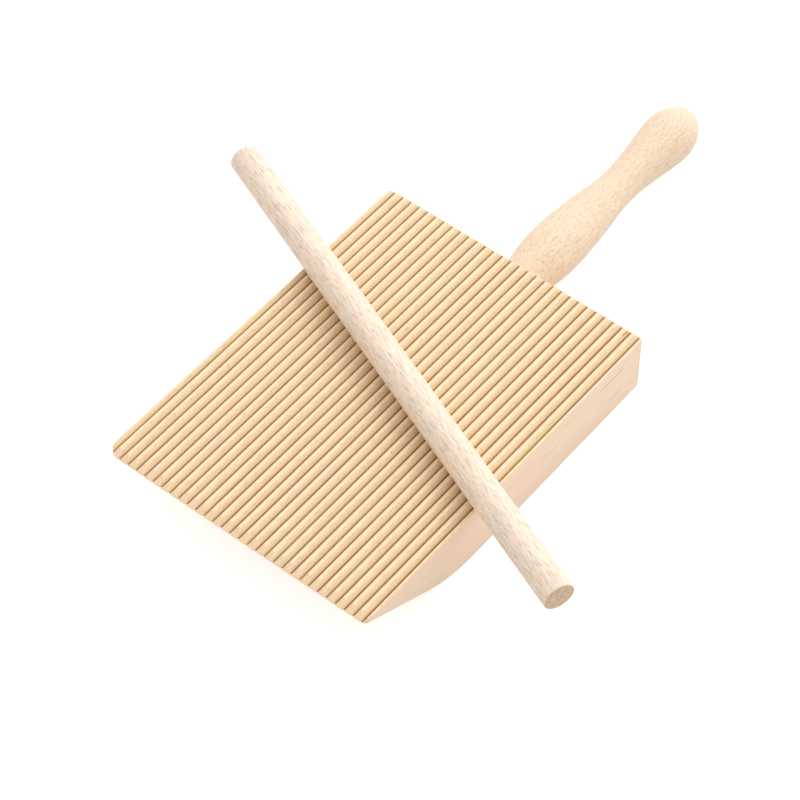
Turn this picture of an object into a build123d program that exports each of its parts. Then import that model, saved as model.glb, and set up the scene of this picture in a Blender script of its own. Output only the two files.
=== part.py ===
import os
from math import radians, sin, tan

from build123d import *

# Gnocchi board: a ribbed beech block with a turned handle, and a loose rod on the ribs.
# Origin: on the flat underside, at the middle of the block's length and width.
# +X to the right, +Y towards the handle, +Z up. Millimetres.

# Block
rib_pitch = 4.0
rib_count = 30
board_length = 164.0
board_thickness = 28.0
side_edge_radius = 0.8
rear_edge_radius = 3.0
rear_top_radius = 4.0

# Corners in plan, sanded by hand, so each has its own radius
front_left_radius = 6.0
front_right_radius = 3.0
rear_left_radius = 4.0
rear_right_radius = 2.2

# Ribs, cut by a planer head with pointed teeth, then sanded round on top
groove_angle = 74.0
crest_radius = 0.8
side_rib_radius = 0.45

# Front edge: a long bevel below, and the rib ends sanded down above
bevel_angle = 28.5
bevel_blend_radius = 58.0
nose_drop = 1.5
nose_land = 0.2
nose_facet_angle = 22.5

# Handle, turned in arcs, as diameters at distances along it.
# Swell and belly are measured from the block's rear face, waist and knob from the tip.
handle_length = 116.3
handle_axis_height = 12.0
neck_diameter = 17.0
swell_diameter = 19.7
swell_distance = 11.8
belly_diameter = 22.1
belly_distance = 26.3
waist_diameter = 15.2
waist_distance = 49.5
knob_diameter = 21.6
knob_distance = 15.5
tip_radius = 8.35

# How far along from belly to waist, and from waist to knob, the arcs turn over
grip_turn_share = 0.63
flare_turn_share = 0.67

# Joint between handle and block: a turned tenon glued into a blind bore
tenon_diameter = 12.0
tenon_length = 30.0
tenon_chamfer = 1.2
glue_gap = 0.06
glue_room = 2.0
bore_chamfer = 0.6

# Rod, where it lies in the photograph
rod_diameter = 12.5
rod_length = 235.5
rod_end_radius = 0.8
rod_angle = -22.2
rod_x = -1.0
rod_y = 8.9
rest_gap = 0.15

# One overrun serves all cuts
overrun = 10.0

# Sizes and places that follow from these
board_width = rib_pitch * rib_count
front_y = -board_length / 2
rear_y = board_length / 2
half_groove = radians(groove_angle / 2)
crest_peak_z = board_thickness + crest_radius / sin(half_groove) - crest_radius
groove_point_z = crest_peak_z - rib_pitch / 2 / tan(half_groove)
nose_top_z = board_thickness - nose_drop
nose_bottom_z = nose_top_z - nose_land
nose_facet_y = front_y + (crest_peak_z - nose_top_z) / tan(radians(nose_facet_angle))
bevel_end_y = front_y + nose_bottom_z / tan(radians(bevel_angle))
corner_radii = {
    (-1, -1): front_left_radius,
    (1, -1): front_right_radius,
    (-1, 1): rear_left_radius,
    (1, 1): rear_right_radius,
}
handle_seat = (0, rear_y, handle_axis_height)
belly = Vector(belly_diameter / 2, belly_distance)
waist = Vector(waist_diameter / 2, handle_length - waist_distance)
knob = Vector(knob_diameter / 2, handle_length - knob_distance)
grip_turn = belly + (waist - belly) * grip_turn_share
flare_turn = waist + (knob - waist) * flare_turn_share
tip_centre = Vector(0, handle_length - tip_radius)
dome_rise = tip_centre.Y - knob.Y
dome_radius = (knob.X**2 - tip_radius**2 + dome_rise**2) / (knob.X - tip_radius) / 2
dome_centre = knob - Vector(dome_radius, 0)
dome_end = dome_centre + (tip_centre - dome_centre).normalized() * dome_radius
rod_axis_z = board_thickness + rest_gap + rod_diameter / 2


def planer_teeth():
    """Points of the planer head in an X, Z section, from left of the block to right of it."""
    side_x = board_width / 2
    points = [(-side_x - rib_pitch, groove_point_z), (-side_x, groove_point_z)]
    for half_pitch in range(2 * rib_count + 1):
        x = half_pitch * rib_pitch / 2 - side_x
        points.append((x, groove_point_z if half_pitch % 2 else crest_peak_z))
    points += [(side_x, groove_point_z), (side_x + rib_pitch, groove_point_z)]
    return points


# Block
with BuildPart() as ribbed_board:
    with BuildSketch(Plane.YZ):
        with BuildLine():
            FilletPolyline(
                (nose_facet_y, crest_peak_z),
                (front_y, nose_top_z),
                (front_y, nose_bottom_z),
                (bevel_end_y, 0),
                (rear_y, 0),
                (rear_y, crest_peak_z),
                radius=(0, 0, 0, bevel_blend_radius, rear_edge_radius, rear_top_radius),
                close=True,
            )
        make_face()
    extrude(amount=board_width / 2, both=True)

    # Lower edges of the two sides, eased all the way along the underside and the bevel
    left_side = ribbed_board.faces().sort_by(Axis.X)[0]
    right_side = ribbed_board.faces().sort_by(Axis.X)[-1]
    side_edges = left_side.edges() + right_side.edges()
    lower_edges = side_edges.filter_by(lambda edge: edge.center().Z < nose_bottom_z - nose_land)
    fillet(lower_edges.filter_by(Axis.Z, reverse=True), radius=side_edge_radius)

    # Corners rounded in plan
    with BuildSketch(Plane.XY) as plan:
        Rectangle(board_width, board_length)
        for (side, end), radius in corner_radii.items():
            corner = (side * board_width / 2, end * board_length / 2)
            fillet(plan.vertices().sort_by_distance(corner)[0], radius=radius)
    extrude(amount=crest_peak_z + overrun, mode=Mode.INTERSECT)

    # Planed ribs, with rounded crests and sharp grooves
    with BuildSketch(Plane.XZ):
        with BuildLine():
            teeth = planer_teeth()
            tooth_radii = [0, crest_radius] * (rib_count - 1) + [0]
            tooth_radii = [0, side_rib_radius] + tooth_radii + [side_rib_radius, 0]
            ribs = FilletPolyline(*teeth, radius=tooth_radii)
            head_top = crest_peak_z + 2 * overrun
            Polyline(ribs @ 0, (teeth[0][0], head_top), (teeth[-1][0], head_top), ribs @ 1)
        make_face()
    extrude(amount=board_length / 2 + overrun, both=True, mode=Mode.SUBTRACT)

    # Blind bore for the tenon, with a countersunk mouth
    with Locations(Plane(handle_seat, x_dir=(1, 0, 0), z_dir=(0, 1, 0))):
        bore_radius = tenon_diameter / 2 + glue_gap
        CounterSinkHole(bore_radius, bore_radius + bore_chamfer, depth=tenon_length + glue_room)

# Handle, turned in one piece with its tenon
with BuildPart() as handle:
    with BuildSketch(Plane(handle_seat)):
        with BuildLine():
            swell = TangentArc(belly, (swell_diameter / 2, swell_distance), tangent=(0, -1))
            neck = TangentArc(swell @ 1, (neck_diameter / 2, 0), tangent=swell % 1)
            grip = TangentArc(belly, grip_turn, tangent=(0, 1))
            TangentArc(grip_turn, waist, tangent=grip % 1)
            flare = TangentArc(waist, flare_turn, tangent=(0, 1))
            TangentArc(flare_turn, knob, tangent=flare % 1)
            dome = TangentArc(knob, dome_end, tangent=(0, 1))
            tip = TangentArc(dome_end, (0, handle_length), tangent=dome % 1)
            Polyline(
                tip @ 1,
                (0, -tenon_length),
                (tenon_diameter / 2 - tenon_chamfer, -tenon_length),
                (tenon_diameter / 2, tenon_chamfer - tenon_length),
                (tenon_diameter / 2, 0),
                neck @ 1,
            )
        make_face()
    revolve(axis=Axis(handle_seat, (0, 1, 0)))

# Rod, loose on the crests
with BuildPart() as rolling_rod:
    rod_end_normal = Vector(1, 0, 0).rotate(Axis.Z, rod_angle)
    with BuildSketch(Plane((rod_x, rod_y, rod_axis_z), z_dir=rod_end_normal)):
        Circle(rod_diameter / 2)
    extrude(amount=rod_length / 2, both=True)
    fillet(rolling_rod.edges().filter_by(GeomType.CIRCLE), radius=rod_end_radius)

# One file for each piece
os.makedirs("parts", exist_ok=True)
ribbed_board.part.label = "ribbed_board"
handle.part.label = "handle"
rolling_rod.part.label = "rolling_rod"
export_step(ribbed_board.part, "parts/ribbed_board.step")
export_step(handle.part, "parts/handle.step")
export_step(rolling_rod.part, "parts/rolling_rod.step")
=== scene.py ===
from math import atan2, cos, hypot, inf, pi, radians, sin, sqrt, tan

import bmesh
import bpy
from mathutils import Matrix, Vector, noise


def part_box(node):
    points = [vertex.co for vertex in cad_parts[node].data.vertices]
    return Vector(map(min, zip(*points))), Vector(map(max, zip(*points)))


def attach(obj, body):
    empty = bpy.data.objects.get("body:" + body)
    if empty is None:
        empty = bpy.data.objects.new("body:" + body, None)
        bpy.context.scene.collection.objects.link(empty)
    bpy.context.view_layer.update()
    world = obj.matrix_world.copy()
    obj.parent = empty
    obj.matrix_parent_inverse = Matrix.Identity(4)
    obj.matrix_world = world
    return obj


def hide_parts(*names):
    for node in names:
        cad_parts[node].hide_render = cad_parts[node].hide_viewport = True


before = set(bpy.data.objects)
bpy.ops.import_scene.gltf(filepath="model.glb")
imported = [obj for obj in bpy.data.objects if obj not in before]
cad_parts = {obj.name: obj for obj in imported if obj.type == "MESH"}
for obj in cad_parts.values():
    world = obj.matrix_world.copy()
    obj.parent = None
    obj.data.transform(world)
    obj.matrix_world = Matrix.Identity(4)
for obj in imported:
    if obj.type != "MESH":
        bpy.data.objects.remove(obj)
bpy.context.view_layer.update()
print("frame loaded:", sorted(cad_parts))

mm = 0.001
tiny = 0.001 * mm  # points closer than this count as one
scene = bpy.context.scene
scene.view_settings.view_transform = "Standard"

boardLow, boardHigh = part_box("ribbed_board")
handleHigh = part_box("handle")[1]
rodLow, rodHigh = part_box("rolling_rod")
frontY, rearY = boardLow.y, boardHigh.y


# camera, at the photograph's view
cameraSetup = {
    "azimuth": 38.39,
    "elevation": 51.50,
    "roll": 0.36,
    "distance": 1.071,
    "target": (8.3 * mm, 1.6 * mm, 28 * mm),
    "lens": 132.65,
    "sensor": 36.0,
    "nearest": 0.05,
    "farthest": 20.0,
}


def placeCamera():
    data = bpy.data.cameras.new("photoCamera")
    data.lens = cameraSetup["lens"]
    data.sensor_width = cameraSetup["sensor"]
    data.clip_start = cameraSetup["nearest"]
    data.clip_end = cameraSetup["farthest"]
    camera = bpy.data.objects.new("photoCamera", data)
    scene.collection.objects.link(camera)
    turn = Matrix.Rotation(radians(cameraSetup["azimuth"]), 4, "Z")
    tilt = Matrix.Rotation(radians(90 - cameraSetup["elevation"]), 4, "X")
    roll = Matrix.Rotation(radians(cameraSetup["roll"]), 4, "Z")
    back = Matrix.Translation((0, 0, cameraSetup["distance"]))
    camera.matrix_world = Matrix.Translation(cameraSetup["target"]) @ turn @ tilt @ roll @ back
    scene.camera = camera


placeCamera()


# meshes: small helpers
def finishPiece(name, bm, body, node, sharpAngle, flatArea=inf):
    bmesh.ops.recalc_face_normals(bm, faces=bm.faces)
    openEdges = [edge for edge in bm.edges if not edge.is_manifold]
    mesh = bpy.data.meshes.new(name)
    bm.to_mesh(mesh)
    bm.free()
    mesh.shade_smooth()
    for polygon in mesh.polygons:
        if polygon.area > flatArea:  # wide flat faces keep their own normal
            polygon.use_smooth = False
    mesh.set_sharp_from_angle(angle=radians(sharpAngle))
    piece = bpy.data.objects.new(name, mesh)
    scene.collection.objects.link(piece)
    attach(piece, body)
    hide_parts(node)
    print(name, "faces:", len(mesh.polygons), "open edges:", len(openEdges))
    return piece


def planeCut(bm, point, normal):
    # takes off all that lies on the normal's side, and closes the cut
    geometry = bm.verts[:] + bm.edges[:] + bm.faces[:]
    cut = bmesh.ops.bisect_plane(
        bm, geom=geometry, dist=tiny, plane_co=point, plane_no=normal, clear_outer=True
    )
    rim = [item for item in cut["geom_cut"] if isinstance(item, bmesh.types.BMEdge)]
    openRim = [edge for edge in rim if edge.is_boundary]
    if openRim:
        bmesh.ops.edgeloop_fill(bm, edges=openRim)


def drawOut(bm, edges):
    # extrudes an open rim, and gives the new rim's vertices and edges
    made = bmesh.ops.extrude_edge_only(bm, edges=edges)["geom"]
    verts = [item for item in made if isinstance(item, bmesh.types.BMVert)]
    rim = [item for item in made if isinstance(item, bmesh.types.BMEdge) and item.is_boundary]
    return verts, rim


# the board: ribs planed into the top of a block, then the block cut to shape
board = {
    "ribs": 30,
    "grooveAngle": 74,
    "crestRadius": 0.8 * mm,
    "crestSteps": 5,
    "flankSteps": 3,
    "sideRibRadius": 0.45 * mm,
    "noseDrop": 1.5 * mm,
    "noseLand": 0.2 * mm,
    "noseFacetAngle": 22.5,
    "noseLeastReach": 0.02 * mm,
    "facetRows": 4,
    "middleRows": 46,
    "rearRows": 10,
    "rearTopRadius": 4 * mm,
    "waver": 0.04 * mm,  # how far a crest wanders from true
    "waverLength": 22 * mm,
    "liftLength": 35 * mm,
    # where each rib's waver and lift are read in the noise: step per rib and depth
    "waverPlace": (3.7, 0.5),
    "liftPlace": (5.1, 9.5),
    "bevelAngle": 28.5,
    "bevelBlendRadius": 58 * mm,
    "bevelBlendCuts": 7,
    "rearEdgeRadius": 3 * mm,
    "rearEdgeCuts": 6,
    "sideEasing": 0.8 * mm,
    "sideEasingSteps": 3,
    "sideNear": 0.01 * mm,
    "sideFacing": 0.99,  # a side face's normal is at least this much along X
    "underFacing": (0.1, -0.05),  # and the face below has less than these in X and Z
    # upright corners, by side and end: each was sanded by hand
    "corners": {(-1, -1): 6 * mm, (1, -1): 3 * mm, (-1, 1): 4 * mm, (1, 1): 2.2 * mm},
    "cornerCuts": 7,
    "chip": (53.2 * mm, 79.4 * mm),
    "chipReach": (0.55 * mm, 1.3 * mm),
    "chipDepth": 0.4 * mm,
    "boreHeight": 12 * mm,
    "boreRadius": 6.06 * mm,
    "boreDepth": 32 * mm,
    "boreChamfer": 0.6 * mm,
    "boreSides": 48,
    # faces of the rear wall: least normal along Y, and how near to the rear they lie
    "rearFacing": 0.999,
    "rearDepth": 1 * mm,
}
ribPitch = (boardHigh.x - boardLow.x) / board["ribs"]
flankLean = radians(board["grooveAngle"] / 2)  # from upright
peakRise = board["crestRadius"] / sin(flankLean) - board["crestRadius"]  # sharp peak over crest


def halfRibOffsets():
    # places of the steps across half a rib, from its crest to its groove
    crest = board["crestRadius"]
    turned = radians(90) - flankLean
    steps = [crest * sin(turned * step / board["crestSteps"]) for step in range(board["crestSteps"])]
    start = crest * sin(turned)
    for step in range(board["flankSteps"] + 1):
        steps.append(start + (ribPitch / 2 - start) * step / board["flankSteps"])
    return steps


def sideRibOffsets():
    # the same for the half ribs at the two sides, whose small round top ends in the side face
    radius = board["sideRibRadius"]
    count = board["crestSteps"] + board["flankSteps"]
    swept = radians(180) - flankLean
    steps = []
    for step in range(count):
        steps.append(radius - radius * cos(swept * step / (count - 1)))
    return steps + [ribPitch / 2]


def ribDrop(x):
    # how far the planed surface lies under the crests at x
    fromCrest = abs(x - round(x / ribPitch) * ribPitch)
    fromSide = boardHigh.x - abs(x)
    crest, sideRound = board["crestRadius"], board["sideRibRadius"]
    flank = fromCrest / tan(flankLean) - peakRise
    if fromSide < ribPitch / 2:
        if fromSide > sideRound * (1 + cos(flankLean)):
            return flank
        centreDrop = sideRound / tan(flankLean) + sideRound / sin(flankLean) - peakRise
        across = fromSide - sideRound
        return centreDrop - sqrt(max(sideRound * sideRound - across * across, 0))
    if fromCrest < crest * cos(flankLean):
        return crest - sqrt(crest * crest - fromCrest * fromCrest)
    return flank


def planeRibs(bm):
    inner, outer = halfRibOffsets(), sideRibOffsets()
    halfSteps = len(inner) - 1
    columns = 2 * board["ribs"] * halfSteps
    rows = board["facetRows"] + board["middleRows"] + board["rearRows"]
    radius = board["rearTopRadius"]
    facetSlope = tan(radians(board["noseFacetAngle"]))
    for vert in bm.verts:
        column = round((vert.co.x + 0.5) * columns)
        row = round((vert.co.y + 0.5) * rows)
        half, step = divmod(column, halfSteps)
        if half == 2 * board["ribs"]:
            half, step = half - 1, halfSteps
        offsets = outer if half in (0, 2 * board["ribs"] - 1) else inner
        inHalf = ribPitch / 2 - offsets[halfSteps - step] if half % 2 else offsets[step]
        x = boardLow.x + half * ribPitch / 2 + inHalf
        drop = ribDrop(x)

        # rows follow the sanded facet's edge, then the ribs, then the round rear edge
        facetEnd = frontY + max((board["noseDrop"] - drop) / facetSlope, board["noseLeastReach"])
        rearStart = rearY - radius
        if row <= board["facetRows"]:
            y = frontY + (facetEnd - frontY) * row / board["facetRows"]
        elif row <= board["facetRows"] + board["middleRows"]:
            y = facetEnd + (rearStart - facetEnd) * (row - board["facetRows"]) / board["middleRows"]
        else:
            turned = radians(90) * (row - board["facetRows"] - board["middleRows"]) / board["rearRows"]
            y = rearStart + radius * sin(turned)
        height = min(-drop, (y - frontY) * facetSlope - board["noseDrop"])
        if y > rearStart:
            roundDrop = radius - sqrt(max(radius * radius - (y - rearStart) ** 2, 0))
            height = min(height, peakRise - roundDrop)

        # a crest is never quite true, and one has lost a splinter at its end
        rib = round(x / ribPitch)
        inside = min(1, (boardHigh.x - abs(x)) / ribPitch, (rearY - y) / radius)
        ribStep, depth = board["waverPlace"]
        wander = noise.noise(Vector((rib * ribStep, y / board["waverLength"], depth)))
        ribStep, depth = board["liftPlace"]
        lift = noise.noise(Vector((rib * ribStep, y / board["liftLength"], depth)))
        chipX = (x - board["chip"][0]) / board["chipReach"][0]
        chipY = (y - board["chip"][1]) / board["chipReach"][1]
        height -= board["chipDepth"] * max(1 - hypot(chipX, chipY), 0)
        height += board["waver"] * (lift - 1) / 2 * inside
        vert.co = (x + board["waver"] * wander * inside, y, boardHigh.z + height)
    print("planed:", columns, "by", rows)


def easeLowerSides(bm):
    bm.normal_update()
    mostSideways, mostDown = board["underFacing"]
    edges = []
    for edge in bm.edges:
        fromSide = abs(abs(edge.verts[0].co.x) - boardHigh.x)
        if len(edge.link_faces) != 2 or fromSide > board["sideNear"]:
            continue
        first, second = (face.normal for face in edge.link_faces)
        if abs(first.x) < abs(second.x):
            first, second = second, first
        below = abs(second.x) < mostSideways and second.z < mostDown
        if abs(first.x) > board["sideFacing"] and below:
            edges.append(edge)
    bmesh.ops.bevel(
        bm,
        geom=edges,
        offset=board["sideEasing"],
        affect="EDGES",
        segments=board["sideEasingSteps"],
        profile=0.5,
        material=-1,
    )


def drillBore(bm):
    # the rear wall is laid anew round the mouth of the bore
    bm.normal_update()
    facingBack = [face for face in bm.faces if face.normal.y > board["rearFacing"]]
    wallFrom = rearY - board["rearDepth"]
    wall = [face for face in facingBack if face.calc_center_median().y > wallFrom]
    bmesh.ops.delete(bm, geom=wall, context="FACES")
    rim = [edge for edge in bm.edges if edge.is_boundary]
    seat = Matrix.Translation((0, rearY, boardLow.z + board["boreHeight"]))
    mouth = bmesh.ops.create_circle(
        bm,
        cap_ends=False,
        segments=board["boreSides"],
        radius=board["boreRadius"] + board["boreChamfer"],
        matrix=seat @ Matrix.Rotation(pi / 2, 4, "X"),
    )["verts"]
    ring = list({edge for vert in mouth for edge in vert.link_edges})
    bmesh.ops.triangle_fill(bm, use_beauty=True, edges=rim + ring, normal=(0, 1, 0))

    verts, ring = drawOut(bm, ring)
    narrower = board["boreRadius"] / (board["boreRadius"] + board["boreChamfer"])
    bmesh.ops.scale(bm, vec=(narrower, 1, narrower), space=seat.inverted(), verts=verts)
    bmesh.ops.translate(bm, vec=(0, -board["boreChamfer"], 0), verts=verts)
    verts, ring = drawOut(bm, ring)
    bmesh.ops.translate(bm, vec=(0, board["boreChamfer"] - board["boreDepth"], 0), verts=verts)
    bmesh.ops.edgeloop_fill(bm, edges=ring)


def makeBoard():
    bm = bmesh.new()
    bmesh.ops.create_grid(
        bm,
        x_segments=2 * board["ribs"] * (board["crestSteps"] + board["flankSteps"]),
        y_segments=board["facetRows"] + board["middleRows"] + board["rearRows"],
        size=0.5,
    )
    planeRibs(bm)

    # the top's rim drawn down to the underside, which is closed by one face
    lowered, bottomRim = drawOut(bm, [edge for edge in bm.edges if edge.is_boundary])
    for vert in lowered:
        vert.co.z = boardLow.z
    bmesh.ops.edgeloop_fill(bm, edges=bottomRim)

    # long bevel under the front edge, blended into the underside by a round stretch
    angle = radians(board["bevelAngle"])
    radius = board["bevelBlendRadius"]
    bevelTop = boardHigh.z - board["noseDrop"] - board["noseLand"]
    bevelEnd = frontY + (bevelTop - boardLow.z) / tan(angle)
    blendCentre = Vector((0, bevelEnd + radius * tan(angle / 2), boardLow.z + radius))
    for cut in range(board["bevelBlendCuts"] + 1):
        tilt = angle * (1 - cut / (board["bevelBlendCuts"] + 1))
        outward = Vector((0, -sin(tilt), -cos(tilt)))
        planeCut(bm, blendCentre + outward * radius, outward)

    # rounded lower edge at the rear
    radius = board["rearEdgeRadius"]
    for cut in range(board["rearEdgeCuts"]):
        tilt = radians(90) * (cut + 0.5) / board["rearEdgeCuts"]
        outward = Vector((0, sin(tilt), -cos(tilt)))
        planeCut(bm, Vector((0, rearY - radius, boardLow.z + radius)) + outward * radius, outward)

    easeLowerSides(bm)

    # four upright corners
    for (side, end), radius in board["corners"].items():
        centre = Vector((side * (boardHigh.x - radius), end * (rearY - radius), 0))
        for cut in range(board["cornerCuts"]):
            turn = radians(90) * (cut + 0.5) / board["cornerCuts"]
            outward = Vector((side * sin(turn), end * cos(turn), 0))
            planeCut(bm, centre + outward * radius, outward)

    drillBore(bm)
    return bm


ribbedBoard = finishPiece(
    "ribbedBoard",
    makeBoard(),
    "board",
    "ribbed_board",
    sharpAngle=21,
    flatArea=300 * mm * mm,
)


# the handle: its outline spun about its own axis
handle = {
    "axisHeight": 12 * mm,
    "around": 72,
    "stepsPerStretch": 7,
    "endSteps": 8,
    "tenonRadius": 6 * mm,
    "tenonLength": 30 * mm,
    "tenonChamfer": 1.2 * mm,
    # distance from the board's rear face and radius, at the hollows and swellings of the turning
    "stations": (
        (0, 8.5), (8.8, 9.4), (17.8, 10.75), (27.8, 11.05), (38.8, 10.4), (49.8, 9.3),
        (58.8, 8.1), (66.8, 7.6), (75.8, 7.95), (84.8, 8.95), (92.8, 10.1), (100.8, 10.8),
    ),
    "tipRadius": 8.35 * mm,
}


def curveThrough(before, start, end, after, share):
    # Catmull-Rom curve between start and end
    first = (end - before) / 2
    last = (after - start) / 2
    squared, cubed = share * share, share * share * share
    startPart = start * (2 * cubed - 3 * squared + 1) + first * (cubed - 2 * squared + share)
    return startPart + end * (3 * squared - 2 * cubed) + last * (cubed - squared)


def handleOutline():
    # points of distance along and radius, from the tenon's end to the tip
    stations = [Vector((distance * mm, radius * mm)) for distance, radius in handle["stations"]]
    outline = [
        Vector((-handle["tenonLength"], 0)),
        Vector((-handle["tenonLength"], handle["tenonRadius"] - handle["tenonChamfer"])),
        Vector((-handle["tenonLength"] + handle["tenonChamfer"], handle["tenonRadius"])),
        Vector((0, handle["tenonRadius"])),
    ]
    knob = stations[-1]
    stations.append(Vector((2 * knob.x - stations[-2].x, stations[-2].y)))  # level at the knob
    for index in range(len(stations) - 2):
        before = stations[max(index - 1, 0)]
        for step in range(handle["stepsPerStretch"]):
            share = step / handle["stepsPerStretch"]
            outline.append(
                curveThrough(before, stations[index], stations[index + 1], stations[index + 2], share)
            )

    # the end is a wide arc from the knob and a smaller one at the tip
    tip = handle["tipRadius"]
    length = handleHigh.y - rearY
    rise = length - tip - knob.x
    wide = (knob.y * knob.y - tip * tip + rise * rise) / (knob.y - tip) / 2
    meeting = atan2(rise, wide - knob.y)
    for step in range(handle["endSteps"]):
        angle = meeting * step / handle["endSteps"]
        outline.append(Vector((knob.x + wide * sin(angle), knob.y - wide + wide * cos(angle))))
    for step in range(handle["endSteps"] + 1):
        angle = meeting + (radians(90) - meeting) * step / handle["endSteps"]
        outline.append(Vector((length - tip + tip * sin(angle), tip * cos(angle))))
    return outline


def spinOutline(bm, outline, origin, along, across, around):
    # lays the outline along its axis, joins it up and spins it into a closed shape
    verts = [bm.verts.new(origin + along * point.x + across * point.y) for point in outline]
    edges = [bm.edges.new(pair) for pair in zip(verts, verts[1:])]
    bmesh.ops.spin(
        bm, geom=verts + edges, cent=origin, axis=along, angle=2 * pi, steps=around, use_merge=True
    )
    bmesh.ops.remove_doubles(bm, verts=bm.verts[:], dist=2 * tiny)


def makeHandle():
    bm = bmesh.new()
    seat = Vector((0, rearY, boardLow.z + handle["axisHeight"]))
    spinOutline(bm, handleOutline(), seat, Vector((0, 1, 0)), Vector((1, 0, 0)), handle["around"])
    return bm


turnedHandle = finishPiece(
    "turnedHandle", makeHandle(), "board", "handle", sharpAngle=40
)


# the rod: a plain dowel with eased ends
rod = {
    "radius": 6.25 * mm,
    "length": 235.5 * mm,
    "angle": -22.2,
    "endEasing": 0.8 * mm,
    "easingSteps": 5,
    "rings": 60,
    "around": 64,
}
rodCentre = (rodLow + rodHigh) / 2
rodAlong = Vector((cos(radians(rod["angle"])), sin(radians(rod["angle"])), 0))


def rodOutline():
    half, radius, easing = rod["length"] / 2, rod["radius"], rod["endEasing"]
    farEnd = [Vector((-half, 0)), Vector((-half, (radius - easing) / 2))]
    for step in range(rod["easingSteps"] + 1):
        angle = radians(90) * step / rod["easingSteps"]
        farEnd.append(Vector((-half + easing * (1 - cos(angle)), radius - easing + easing * sin(angle))))
    middle = []
    for ring in range(1, rod["rings"]):
        middle.append(Vector(((half - easing) * (2 * ring / rod["rings"] - 1), radius)))
    nearEnd = [Vector((-point.x, point.y)) for point in reversed(farEnd)]
    return farEnd + middle + nearEnd


def makeRod():
    bm = bmesh.new()
    spinOutline(bm, rodOutline(), rodCentre, rodAlong, Vector((0, 0, 1)), rod["around"])
    return bm


looseRod = finishPiece("looseRod", makeRod(), "rod", "rolling_rod", sharpAngle=40)


# shader nodes: small helpers
def put(tree, kind, inputs=None, **settings):
    made = tree.nodes.new(kind)
    for name, value in settings.items():
        setattr(made, name, value)
    for name, value in (inputs or {}).items():
        if isinstance(value, bpy.types.NodeSocket):
            tree.links.new(value, made.inputs[name])
        else:
            made.inputs[name].default_value = value
    return made


def calculate(tree, operation, *values):
    return put(tree, "ShaderNodeMath", dict(enumerate(values)), operation=operation).outputs[0]


def vectorMath(tree, operation, inputs):
    return put(tree, "ShaderNodeVectorMath", inputs, operation=operation).outputs


def mixColour(tree, share, first, second, blendType="MIX"):
    # sockets 6 and 7 and output 2 are the ones for colours
    first, second = (
        colour + (1,) if isinstance(colour, tuple) else colour for colour in (first, second)
    )
    made = put(
        tree, "ShaderNodeMix", {0: share, 6: first, 7: second}, data_type="RGBA", blend_type=blendType
    )
    return made.outputs[2]


def smoothRange(tree, value, low, high, lowResult=0.0, highResult=1.0):
    made = put(
        tree,
        "ShaderNodeMapRange",
        {"Value": value, "From Min": low, "From Max": high, "To Min": lowResult, "To Max": highResult},
        interpolation_type="SMOOTHSTEP",
    )
    return made.outputs[0]


def startGroup(name, inputs, outputs):
    group = bpy.data.node_groups.new(name, "ShaderNodeTree")
    for socketName, kind, value in inputs:
        socket = group.interface.new_socket(socketName, in_out="INPUT", socket_type=kind)
        if value is not None:
            socket.default_value = value
    for socketName, kind in outputs:
        group.interface.new_socket(socketName, in_out="OUTPUT", socket_type=kind)
    return group, group.nodes.new("NodeGroupInput").outputs, group.nodes.new("NodeGroupOutput").inputs


def useGroup(tree, group, inputs):
    made = tree.nodes.new("ShaderNodeGroup")
    made.node_tree = group
    for name, value in inputs.items():
        if isinstance(value, bpy.types.NodeSocket):
            tree.links.new(value, made.inputs[name])
        else:
            made.inputs[name].default_value = value
    return made.outputs


floatSocket = "NodeSocketFloat"
vectorSocket = "NodeSocketVector"


def streaks(tree, vector, across, along, detail=2):
    # noise drawn out along the fibres; grain space is in millimetres, with Y along them
    stretched = vectorMath(tree, "MULTIPLY", {0: vector, 1: (1 / across, 1 / along, 1 / across)})["Vector"]
    made = put(
        tree,
        "ShaderNodeTexNoise",
        {"Vector": stretched, "Scale": 1.0, "Detail": detail, "Roughness": 0.5},
    )
    return made.outputs[0]


# broad patches, growth rings, small mottling and fibres: reach across and along the fibres
figure = {
    "ringWander": (14, 90),
    "ringWanderBy": 9.0,
    "lateWood": (0.35, 0.9),
    "patches": (9, 42),
    "mottle": (1.3, 6),
    "fibres": (0.34, 6),
    # how much of the noise each turns into its full range
    "patchRange": (0.35, 0.65),
    "mottleRange": (0.38, 0.62),
    "fibreRange": (0.3, 0.7),
}


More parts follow.
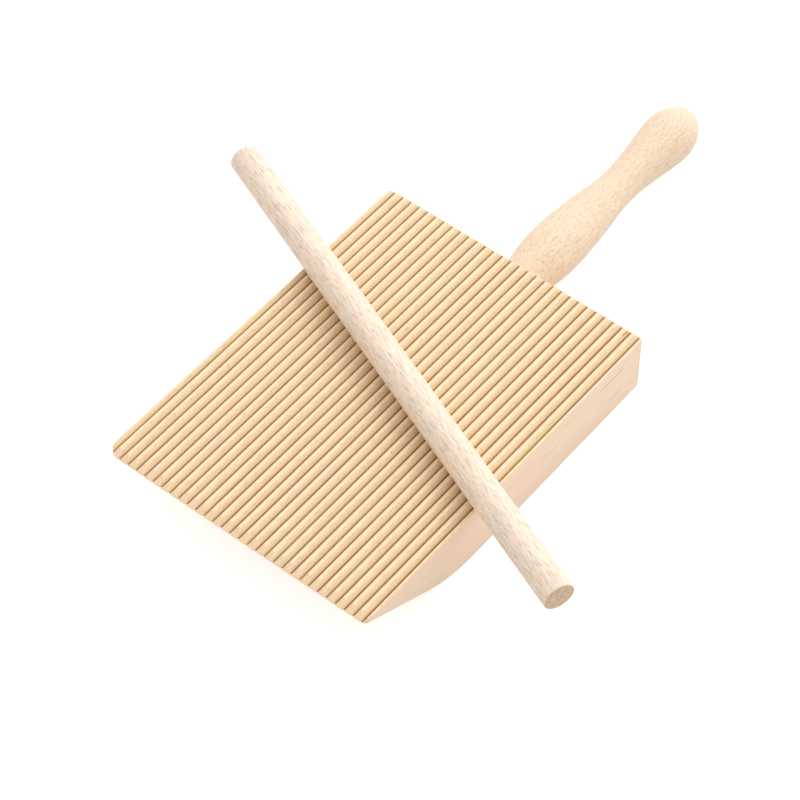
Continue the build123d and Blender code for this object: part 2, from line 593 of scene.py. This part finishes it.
def woodFigure():
    group, given, result = startGroup(
        "woodFigure",
        (
            ("Vector", vectorSocket, None),
            ("Ring Width", floatSocket, 3.0),
            ("Pith Distance", floatSocket, 90.0),
        ),
        (
            ("Patches", floatSocket),
            ("Rings", floatSocket),
            ("Mottle", floatSocket),
            ("Fibres", floatSocket),
        ),
    )
    vector = given["Vector"]
    split = put(group, "ShaderNodeSeparateXYZ", {0: vector}).outputs
    deep = calculate(group, "ADD", split["Z"], given["Pith Distance"])
    deepSquare = calculate(group, "MULTIPLY", deep, deep)
    sideSquare = calculate(group, "MULTIPLY", split["X"], split["X"])
    fromPith = calculate(group, "SQRT", calculate(group, "ADD", deepSquare, sideSquare))
    ringNoise = streaks(group, vector, *figure["ringWander"])
    wandering = calculate(group, "MULTIPLY", ringNoise, figure["ringWanderBy"])
    outward = calculate(group, "ADD", fromPith, wandering)
    season = calculate(group, "FRACT", calculate(group, "DIVIDE", outward, given["Ring Width"]))
    ringStart, ringEnd = figure["lateWood"]
    late = smoothRange(group, season, ringStart, ringEnd)
    early = smoothRange(group, season, ringEnd, 1.0, 1.0, 0.0)
    patches = smoothRange(group, streaks(group, vector, *figure["patches"]), *figure["patchRange"])
    mottle = smoothRange(group, streaks(group, vector, *figure["mottle"]), *figure["mottleRange"])
    group.links.new(patches, result["Patches"])
    group.links.new(calculate(group, "MULTIPLY", late, early), result["Rings"])
    group.links.new(mottle, result["Mottle"])
    group.links.new(streaks(group, vector, *figure["fibres"]), result["Fibres"])
    return group


# the short dark dashes that mark beech, laid out on the opened-up surface
dashSpread = {
    "size": (0.6, 1.15),
    "strength": (0.3, 1.0),
    "softFrom": 0.45,  # share of a dash that is fully dark
}


def grainDashes():
    group, given, result = startGroup(
        "grainDashes",
        (
            ("Across", floatSocket, 0.0),
            ("Along", floatSocket, 0.0),
            ("Spacing", floatSocket, 0.8),
            ("Length", floatSocket, 7.0),
            ("Fineness", floatSocket, 0.22),
            ("Share", floatSocket, 0.7),
        ),
        (("Dashes", floatSocket),),
    )
    cells = put(
        group,
        "ShaderNodeCombineXYZ",
        {
            "X": calculate(group, "DIVIDE", given["Across"], given["Spacing"]),
            "Y": calculate(group, "DIVIDE", given["Along"], given["Length"]),
        },
    ).outputs[0]
    spread = put(
        group,
        "ShaderNodeTexVoronoi",
        {"Vector": cells, "Scale": 1.0, "Randomness": 1.0},
        voronoi_dimensions="2D",
    ).outputs
    chance = put(group, "ShaderNodeSeparateColor", {0: spread["Color"]}).outputs
    size = smoothRange(group, chance["Blue"], 0.0, 1.0, *dashSpread["size"])
    reach = calculate(group, "MULTIPLY", given["Fineness"], size)
    edge = calculate(group, "DIVIDE", spread["Distance"], reach)
    mark = smoothRange(group, edge, dashSpread["softFrom"], 1.0, 1.0, 0.0)
    chosen = calculate(group, "LESS_THAN", chance["Red"], given["Share"])
    strength = smoothRange(group, chance["Green"], 0.0, 1.0, *dashSpread["strength"])
    dashes = calculate(group, "MULTIPLY", calculate(group, "MULTIPLY", mark, chosen), strength)
    group.links.new(dashes, result["Dashes"])
    return group


# where the surface cuts across the fibres
def endGrain():
    group, given, result = startGroup(
        "endGrain",
        (("Along", vectorSocket, (0.0, 1.0, 0.0)), ("From", floatSocket, 0.6), ("To", floatSocket, 0.97)),
        (("End", floatSocket),),
    )
    normal = put(group, "ShaderNodeTexCoord").outputs["Normal"]
    facing = vectorMath(group, "DOT_PRODUCT", {0: normal, 1: given["Along"]})["Value"]
    end = smoothRange(group, calculate(group, "ABSOLUTE", facing), given["From"], given["To"])
    group.links.new(end, result["End"])
    return group


poreSoftFrom = 0.3  # share of a pore's half width that is fully dark


# one long open pore or tear, between two points of the surface
def poreLine():
    group, given, result = startGroup(
        "poreLine",
        (
            ("Vector", vectorSocket, None),
            ("Start", vectorSocket, (0.0, 0.0, 0.0)),
            ("Finish", vectorSocket, (0.0, 1.0, 0.0)),
            ("Half Width", floatSocket, 0.2),
        ),
        (("Line", floatSocket),),
    )
    start = given["Start"]
    way = vectorMath(group, "SUBTRACT", {0: given["Finish"], 1: start})["Vector"]
    offset = vectorMath(group, "SUBTRACT", {0: given["Vector"], 1: start})["Vector"]
    overlap = vectorMath(group, "DOT_PRODUCT", {0: offset, 1: way})["Value"]
    square = vectorMath(group, "DOT_PRODUCT", {0: way, 1: way})["Value"]
    share = calculate(group, "DIVIDE", overlap, square)
    held = calculate(group, "MINIMUM", calculate(group, "MAXIMUM", share, 0.0), 1.0)
    foot = vectorMath(group, "SCALE", {0: way, "Scale": held})["Vector"]
    gap = vectorMath(group, "DISTANCE", {0: offset, 1: foot})["Value"]
    aside = calculate(group, "DIVIDE", gap, given["Half Width"])
    body = smoothRange(group, aside, poreSoftFrom, 1.0, 1.0, 0.0)
    group.links.new(body, result["Line"])
    return group


figureGroup = woodFigure()
dashGroup = grainDashes()
endGroup = endGrain()
poreGroup = poreLine()


def grainSpace(tree, look):
    # millimetres from the piece's own middle, with Y along the fibres
    coordinates = put(tree, "ShaderNodeTexCoord").outputs["Object"]
    made = put(
        tree,
        "ShaderNodeMapping",
        {
            "Vector": coordinates,
            "Location": look["middle"],
            "Rotation": (0, 0, radians(look["turn"])),
            "Scale": (mm, mm, mm),
        },
        vector_type="TEXTURE",
    )
    return made.outputs[0]


def aroundPiece(tree, look, split):
    # distance around a turned piece, measured from its top
    around = calculate(tree, "MULTIPLY", calculate(tree, "ARCTAN2", split["X"], split["Z"]), look["radius"])
    return calculate(tree, "ADD", around, calculate(tree, "MULTIPLY", split["Y"], look["lean"]))


def tint(tree, colour, mask, look, name):
    # mixes in a named colour of the look, by a mask and the colour's own strength
    share = calculate(tree, "MULTIPLY", mask, look[name + "Strength"])
    return mixColour(tree, share, colour, look[name])


def beechMaterial(name, look, acrossGrain, finishColour):
    material = bpy.data.materials.new(name)
    material.use_nodes = True
    tree = material.node_tree
    shader = tree.nodes["Principled BSDF"]
    grain = grainSpace(tree, look)
    split = put(tree, "ShaderNodeSeparateXYZ", {0: grain}).outputs
    wood = useGroup(
        tree,
        figureGroup,
        {"Vector": grain, "Ring Width": look["ringWidth"], "Pith Distance": look["pith"]},
    )
    sway = calculate(tree, "MULTIPLY", wood["Mottle"], look["dashWander"])
    across = calculate(tree, "ADD", acrossGrain(tree, look, split), sway)
    layers = []
    for spacing, length, fineness, share, strength in look["dashes"]:
        dashes = useGroup(
            tree,
            dashGroup,
            {
                "Across": across,
                "Along": split["Y"],
                "Spacing": spacing,
                "Length": length,
                "Fineness": fineness,
                "Share": share,
            },
        )["Dashes"]
        layers.append(calculate(tree, "MULTIPLY", dashes, strength))

    colour = mixColour(tree, wood["Patches"], look["pale"], look["warm"])
    colour = tint(tree, colour, wood["Mottle"], look, "mottle")
    colour = tint(tree, colour, wood["Rings"], look, "ring")
    darkest, brightest = 1 - look["fibreStrength"], 1 + look["fibreStrength"]
    fibreShade = smoothRange(tree, wood["Fibres"], *figure["fibreRange"], darkest, brightest)
    shade = put(tree, "ShaderNodeCombineColor", {0: fibreShade, 1: fibreShade, 2: fibreShade}).outputs[0]
    colour = mixColour(tree, 1.0, colour, shade, "MULTIPLY")
    lines = smoothRange(tree, wood["Fibres"], *look["lineShare"], 1.0, 0.0)
    colour = tint(tree, colour, lines, look, "line")
    for layer in layers:
        colour = mixColour(tree, layer, colour, look["dash"])
    colour = finishColour(tree, look, grain, split, wood, colour)
    tree.links.new(colour, shader.inputs["Base Color"])
    shader.inputs["Roughness"].default_value = look["roughness"]
    shader.inputs["Specular IOR Level"].default_value = look["specular"]

    # fibres stand up and dashes sink in
    raised = calculate(tree, "MULTIPLY", wood["Fibres"], look["fibreRise"])
    sunk = calculate(tree, "MULTIPLY", layers[0], look["dashSink"])
    relief = calculate(tree, "SUBTRACT", raised, sunk)
    bump = put(
        tree,
        "ShaderNodeBump",
        {"Height": relief, "Strength": look["bumpStrength"], "Distance": look["bumpDistance"]},
    ).outputs[0]
    tree.links.new(bump, shader.inputs["Normal"])
    return material


# the board's faces: pale crests, painted shade darkening the lower flanks and groove bottoms, a pinker side
# and darker sanded ends
boardLook = {
    "middle": (0, 0, boardHigh.z),
    "turn": 0,
    "along": (0.0, 1.0, 0.0),
    "pale": (0.95, 0.81, 0.54),
    "warm": (0.94, 0.78, 0.53),
    "mottle": (0.95, 0.71, 0.56),
    "mottleStrength": 0.65,
    "ringWidth": 3.4,
    "pith": 70.0,
    "line": (0.72, 0.50, 0.30),
    "lineShare": (0.36, 0.44),
    "lineStrength": 0.25,
    "ring": (0.84, 0.63, 0.43),
    "ringStrength": 0.12,
    "fibreStrength": 0.04,
    "dash": (0.66, 0.44, 0.24),
    "dashWander": 0.3,
    "dashes": ((0.7, 6.0, 0.24, 0.7, 0.55), (0.4, 3.0, 0.26, 0.8, 0.4)),
    "side": (0.95, 0.73, 0.575),
    "sideStrength": 0.75,
    "sideShade": 0.97,
    # ranges of the normal in which a colour or the grain's direction sets in
    "sideTurn": (0.84, 0.97),
    "grainTurn": (0.88, 0.92),
    "topTurn": (0.2, 0.5),
    "leftTurn": (-0.7, -0.3),
    "endTurn": (0.25, 0.6),
    # painted shade: the flanks get warmer and darker with depth below the crests
    "flank": (0.95, 0.70, 0.41),
    "flankShadeDepth": (0.4, 1.7),
    "flankStrength": 0.6,
    # painted shade: the groove bottoms are darkened to brown or olive
    "groove": (0.34, 0.16, 0.055),
    "grooveShadeOlive": (0.36, 0.23, 0.07),
    "grooveShadeDepth": (1.6, 2.1),
    "grooveShadeStrength": 0.9,
    "grooveStreaks": (3.5, 60),
    "oliveRange": (0.4, 0.6),
    "leftFlankShading": 0.9,  # painted shade: the left flanks are darkened from higher up
    "end": (0.77, 0.49, 0.30),
    "endStrength": 0.7,
    "pore": (0.42, 0.29, 0.22),
    # start, finish, half width and strength of the long pores on the side, from the middle
    "pores": (
        ((60, 55.2, -6.4), (60, 68.9, -6.8), 0.3, 1.0),
        ((60, 61.3, -17.7), (60, 68.9, -17.9), 0.26, 0.7),
        ((60, 65.6, -4.7), (60, 71.8, -4.3), 0.25, 0.45),
        ((60, 40, -19.6), (60, 49, -19.9), 0.22, 0.4),
        ((60, 19, -11.8), (60, 30, -12.4), 0.24, 0.4),
        ((60, -6, -8.2), (60, 6, -8.9), 0.22, 0.35),
        ((60, 30, -5.4), (60, 37, -5.7), 0.2, 0.35),
    ),
    "chip": (0.70, 0.40, 0.17),
    "chipLine": ((53.1, 77.8, -0.8), (53.1, 80.6, -1.4), 0.6),
    "roughness": 0.62,
    "specular": 0.3,
    "fibreRise": 0.5,
    "dashSink": 0.6,
    "bumpStrength": 0.25,
    "bumpDistance": 0.1 * mm,
}


def acrossBoard(tree, look, split):
    # X on the ribs, and Z on the side faces
    normal = put(tree, "ShaderNodeTexCoord").outputs["Normal"]
    sideways = calculate(tree, "ABSOLUTE", put(tree, "ShaderNodeSeparateXYZ", {0: normal}).outputs["X"])
    onSide = smoothRange(tree, sideways, *look["grainTurn"])
    onRibs = calculate(tree, "SUBTRACT", 1.0, onSide)
    return calculate(
        tree,
        "ADD",
        calculate(tree, "MULTIPLY", split["X"], onRibs),
        calculate(tree, "MULTIPLY", split["Z"], onSide),
    )


def endMask(tree, look):
    start, full = look["endTurn"]
    return useGroup(tree, endGroup, {"Along": look["along"], "From": start, "To": full})["End"]


def lineMask(tree, grain, start, finish, halfWidth):
    inputs = {"Vector": grain, "Start": start, "Finish": finish, "Half Width": halfWidth}
    return useGroup(tree, poreGroup, inputs)["Line"]


def finishBoard(tree, look, grain, split, wood, colour):
    facing = put(tree, "ShaderNodeTexCoord").outputs["Normal"]
    normal = put(tree, "ShaderNodeSeparateXYZ", {0: facing}).outputs
    onSide = smoothRange(tree, calculate(tree, "ABSOLUTE", normal["X"]), *look["sideTurn"])
    deeper = tuple(part * look["sideShade"] for part in look["side"])
    side = mixColour(tree, wood["Patches"], look["side"], deeper)
    colour = mixColour(tree, calculate(tree, "MULTIPLY", onSide, look["sideStrength"]), colour, side)

    # painted shade: flanks warmer and darker as they go down, and groove bottoms darkened, browner or more
    # olive from one to the next
    onTop = smoothRange(tree, normal["Z"], *look["topTurn"])
    depth = calculate(tree, "MULTIPLY", split["Z"], -1.0)
    paintedFlankShade = calculate(tree, "MULTIPLY", smoothRange(tree, depth, *look["flankShadeDepth"]), onTop)
    colour = tint(tree, colour, paintedFlankShade, look, "flank")
    leftFlankShadeLift = smoothRange(tree, normal["X"], *look["leftTurn"], look["leftFlankShading"], 0.0)
    bottom = smoothRange(tree, calculate(tree, "ADD", depth, leftFlankShadeLift), *look["grooveShadeDepth"])
    ribByRib = streaks(tree, grain, *look["grooveStreaks"], detail=1)
    olive = smoothRange(tree, ribByRib, *look["oliveRange"])
    grooveShadeColour = mixColour(tree, olive, look["groove"], look["grooveShadeOlive"])
    paintedGrooveShade = calculate(tree, "MULTIPLY", bottom, onTop)
    share = calculate(tree, "MULTIPLY", paintedGrooveShade, look["grooveShadeStrength"])
    colour = mixColour(tree, share, colour, grooveShadeColour)

    colour = tint(tree, colour, endMask(tree, look), look, "end")
    for start, finish, halfWidth, strength in look["pores"]:
        pore = lineMask(tree, grain, start, finish, halfWidth)
        colour = mixColour(tree, calculate(tree, "MULTIPLY", pore, strength), colour, look["pore"])
    return mixColour(tree, lineMask(tree, grain, *look["chipLine"]), colour, look["chip"])


def finishTurned(tree, look, grain, split, wood, colour):
    # the ends show the growth as fine upright stripes
    stripes = smoothRange(tree, streaks(tree, grain, *look["stripes"]), *look["stripeRange"])
    endColour = mixColour(tree, stripes, look["end"], look["endPale"])
    share = calculate(tree, "MULTIPLY", endMask(tree, look), look["endStrength"])
    return mixColour(tree, share, colour, endColour)


handleLook = {
    "middle": (0, rearY, handle["axisHeight"]),
    "turn": 0,
    "radius": 10.0,
    "lean": 0.05,
    "along": (0.0, 1.0, 0.0),
    "pale": (0.86, 0.70, 0.53),
    "warm": (0.85, 0.67, 0.50),
    "mottle": (0.86, 0.65, 0.51),
    "mottleStrength": 0.35,
    "ringWidth": 2.8,
    "pith": 45.0,
    "line": (0.58, 0.42, 0.28),
    "lineShare": (0.36, 0.44),
    "lineStrength": 0.35,
    "ring": (0.82, 0.62, 0.46),
    "ringStrength": 0.15,
    "fibreStrength": 0.07,
    "dash": (0.44, 0.30, 0.19),
    "dashWander": 0.1,
    "dashes": ((0.7, 4.0, 0.21, 0.9, 0.65), (0.5, 2.4, 0.23, 0.9, 0.5)),
    "end": (0.74, 0.57, 0.42),
    "endPale": (0.84, 0.66, 0.5),
    "endStrength": 0.3,
    "endTurn": (0.7, 0.97),
    "stripes": (1.6, 40),
    "stripeRange": (0.35, 0.65),
    "fibreRise": 0.5,
    "dashSink": 0.6,
    "roughness": 0.58,
    "specular": 0.3,
    "bumpStrength": 0.2,
    "bumpDistance": 0.08 * mm,
}

rodLook = {
    "middle": tuple(rodCentre),
    "turn": rod["angle"] - 90,
    "radius": 6.25,
    "lean": 0.09,
    "along": tuple(rodAlong),
    "pale": (0.91, 0.78, 0.655),
    "warm": (0.91, 0.765, 0.63),
    "mottle": (0.91, 0.74, 0.625),
    "mottleStrength": 0.3,
    "ringWidth": 2.4,
    "pith": 60.0,
    "line": (0.60, 0.44, 0.32),
    "lineShare": (0.37, 0.45),
    "lineStrength": 0.45,
    "ring": (0.82, 0.67, 0.52),
    "ringStrength": 0.15,
    "fibreStrength": 0.07,
    "dash": (0.42, 0.28, 0.19),
    "dashWander": 0.08,
    "dashes": ((0.75, 10.0, 0.22, 0.9, 0.75), (0.5, 6.0, 0.22, 0.9, 0.55)),
    "end": (0.58, 0.39, 0.26),
    "endPale": (0.74, 0.53, 0.37),
    "endStrength": 0.9,
    "endTurn": (0.7, 0.97),
    "stripes": (1.6, 40),
    "stripeRange": (0.35, 0.65),
    "fibreRise": 0.5,
    "dashSink": 0.6,
    "roughness": 0.6,
    "specular": 0.3,
    "bumpStrength": 0.2,
    "bumpDistance": 0.08 * mm,
}

ribbedBoard.data.materials.append(beechMaterial("boardBeech", boardLook, acrossBoard, finishBoard))
turnedHandle.data.materials.append(beechMaterial("handleBeech", handleLook, aroundPiece, finishTurned))
looseRod.data.materials.append(beechMaterial("rodBeech", rodLook, aroundPiece, finishTurned))
print("materials placed")


# floor and light
studio = {
    "floorSize": 8.0,
    "floorDrop": 0.1 * mm,
    "floorColour": (0.8, 0.8, 0.8),
    "floorRoughness": 0.9,
    "floorLift": 0.6,  # light added to the floor for the camera alone
    "worldStrength": 0.74,
    "worldColour": (1.0, 0.98, 0.945),
    "worldTowards": (-0.25, 0.55, 0.8),  # the world is brighter that way
    "worldSlope": 0.5,
    "keyDirection": (0.08, 0.72, 0.68),
    "keyDistance": 1.6,
    "keySize": 1.3,
    "keyPower": 10.5,
}


def seenMask(tree):
    # 1 where a ray shows the floor or the world, and 0 where it only carries their light
    rays = put(tree, "ShaderNodeLightPath").outputs
    seen = calculate(tree, "MAXIMUM", rays["Is Camera Ray"], rays["Is Glossy Ray"])
    return calculate(tree, "MAXIMUM", seen, rays["Is Transmission Ray"])


def makeFloor():
    bm = bmesh.new()
    bmesh.ops.create_grid(bm, x_segments=1, y_segments=1, size=studio["floorSize"] / 2)
    bmesh.ops.translate(bm, verts=bm.verts, vec=(0, 0, boardLow.z - studio["floorDrop"]))
    mesh = bpy.data.meshes.new("floor")
    bm.to_mesh(mesh)
    bm.free()
    floor = bpy.data.objects.new("floor", mesh)
    scene.collection.objects.link(floor)
    material = bpy.data.materials.new("whiteFloor")
    material.use_nodes = True
    tree = material.node_tree
    shader = tree.nodes["Principled BSDF"]
    shader.inputs["Base Color"].default_value = studio["floorColour"] + (1,)
    shader.inputs["Roughness"].default_value = studio["floorRoughness"]
    shader.inputs["Specular IOR Level"].default_value = 0.0
    lift = calculate(tree, "MULTIPLY", seenMask(tree), studio["floorLift"])
    glow = put(tree, "ShaderNodeEmission", {"Color": (1, 1, 1, 1), "Strength": lift})
    both = put(tree, "ShaderNodeAddShader", {0: shader.outputs[0], 1: glow.outputs[0]})
    tree.links.new(both.outputs[0], tree.nodes["Material Output"].inputs["Surface"])
    mesh.materials.append(material)


def lightStudio():
    world = bpy.data.worlds.new("softWorld")
    scene.world = world
    world.use_nodes = True
    tree = world.node_tree
    background = tree.nodes["Background"]
    seen = seenMask(tree)
    direction = put(tree, "ShaderNodeTexCoord").outputs["Generated"]
    towards = vectorMath(tree, "DOT_PRODUCT", {0: direction, 1: studio["worldTowards"]})["Value"]
    slope = calculate(tree, "ADD", calculate(tree, "MULTIPLY", towards, studio["worldSlope"]), 1.0)
    soft = calculate(tree, "MULTIPLY", slope, studio["worldStrength"])
    strength = calculate(tree, "MAXIMUM", soft, seen)
    colour = mixColour(tree, seen, studio["worldColour"], (1.0, 1.0, 1.0))
    tree.links.new(colour, background.inputs["Color"])
    tree.links.new(strength, background.inputs["Strength"])

    data = bpy.data.lights.new("keyLight", "AREA")
    data.shape = "DISK"
    data.size = studio["keySize"]
    data.energy = studio["keyPower"]
    key = bpy.data.objects.new("keyLight", data)
    scene.collection.objects.link(key)
    direction = Vector(studio["keyDirection"]).normalized()
    aim = direction.to_track_quat("Z", "Y").to_matrix().to_4x4()
    key.matrix_world = Matrix.Translation(direction * studio["keyDistance"]) @ aim


makeFloor()
lightStudio()
print("studio lit")
